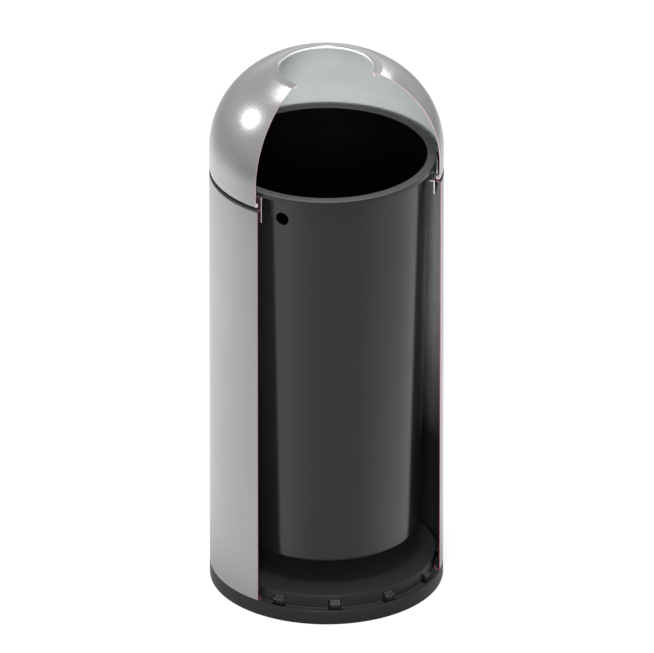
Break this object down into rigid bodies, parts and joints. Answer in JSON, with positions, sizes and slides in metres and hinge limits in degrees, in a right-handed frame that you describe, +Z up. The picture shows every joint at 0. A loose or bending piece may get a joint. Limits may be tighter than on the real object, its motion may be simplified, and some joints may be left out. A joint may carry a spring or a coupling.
{
  "type": "dome top waste receptacle",
  "caption": "Round brushed steel waste receptacle, sectioned at the front, with a lift-off dome with an open mouth, a lift-out liner on a support ring and a floor base that clips in.",
  "frame": {"origin": "on the floor, on the axis of the round body, at the underside of the base", "axes": "+Z up along the body's axis; -Y is the front, from which the cut-away sector is seen; +X is to the right of someone facing it"},
  "size_m": [0.38, 0.38, 0.917],
  "materials": {
    "shell_steel": "fine brushed, satin",
    "dome_steel": "satin brushed outside, dull grey inside",
    "ring_steel": "plain rolled",
    "liner_plastic": "satin charcoal",
    "base_plastic": "fine moulded texture, charcoal",
    "button_rubber": "matte black"
  },
  "bodies": {
    "shell_body": {"base_moulding": "base_plastic", "shell_skin": "shell_steel", "support_ring": "ring_steel", "dome_button_right": "button_rubber", "dome_button_back": "button_rubber", "dome_button_left": "button_rubber"},
    "liner": {"liner_bucket": "liner_plastic"},
    "dome": {"dome_cover": "dome_steel"}
  },
  "joints": [
    {"name": "liner_lift", "type": "slide", "parent": "shell_body", "child": "liner", "axis": [0, 0, 1], "range_m": [0, 0.7]},
    {"name": "dome_lift", "type": "slide", "parent": "liner", "child": "dome", "axis": [0, 0, 1], "range_m": [0, 0.25]}
  ]
}
